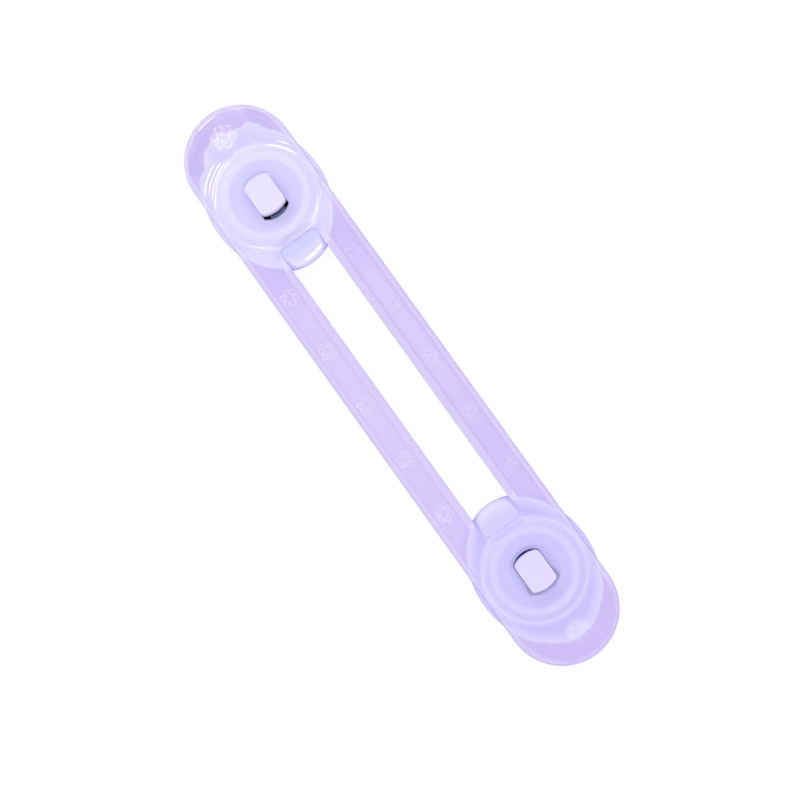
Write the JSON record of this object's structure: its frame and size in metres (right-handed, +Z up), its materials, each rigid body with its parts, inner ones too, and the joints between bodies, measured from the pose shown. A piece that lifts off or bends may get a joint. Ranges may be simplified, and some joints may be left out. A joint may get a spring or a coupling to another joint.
{
  "type": "cabinet safety lock",
  "caption": "Strap-type cabinet safety lock: soft lilac loop strap with flower emboss, hooked at each end over a swivel stud in an oval stick-on base.",
  "frame": {"origin": "middle of the lock, on the surface that its two liners lie on", "axes": "+X along the strap to the right base, +Y across the strap, +Z up out of the studs' heads"},
  "size_m": [0.2, 0.037, 0.01],
  "materials": {
    "strap": "satin",
    "base": "gloss",
    "stud": "satin",
    "foam": "matte",
    "liner": "satin"
  },
  "bodies": {
    "left_stud": {"left_stud": "stud"},
    "left_base": {"left_base": "base", "left_foam_pad": "foam", "left_liner": "liner"},
    "strap": {"strap": "strap"},
    "right_stud": {"right_stud": "stud"},
    "right_base": {"right_base": "base", "right_foam_pad": "foam", "right_liner": "liner"}
  },
  "joints": [
    {"name": "left_swivel", "type": "hinge", "parent": "left_stud", "child": "left_base", "pos_m": [-0.0692, 0, 0.003], "axis": [0, 0, 1], "continuous": true},
    {"name": "left_release", "type": "slide", "parent": "left_stud", "child": "strap", "axis": [0, 0, 1], "range_m": [0, 0.01]},
    {"name": "right_release", "type": "slide", "parent": "strap", "child": "right_stud", "axis": [0, 0, -1], "range_m": [0, 0.01]},
    {"name": "right_swivel", "type": "hinge", "parent": "right_stud", "child": "right_base", "pos_m": [0.0692, 0, 0.003], "axis": [0, 0, 1], "continuous": true}
  ],
  "couplings": [
    {"joint": "right_release", "follows": "left_release", "ratio": 1}
  ]
}
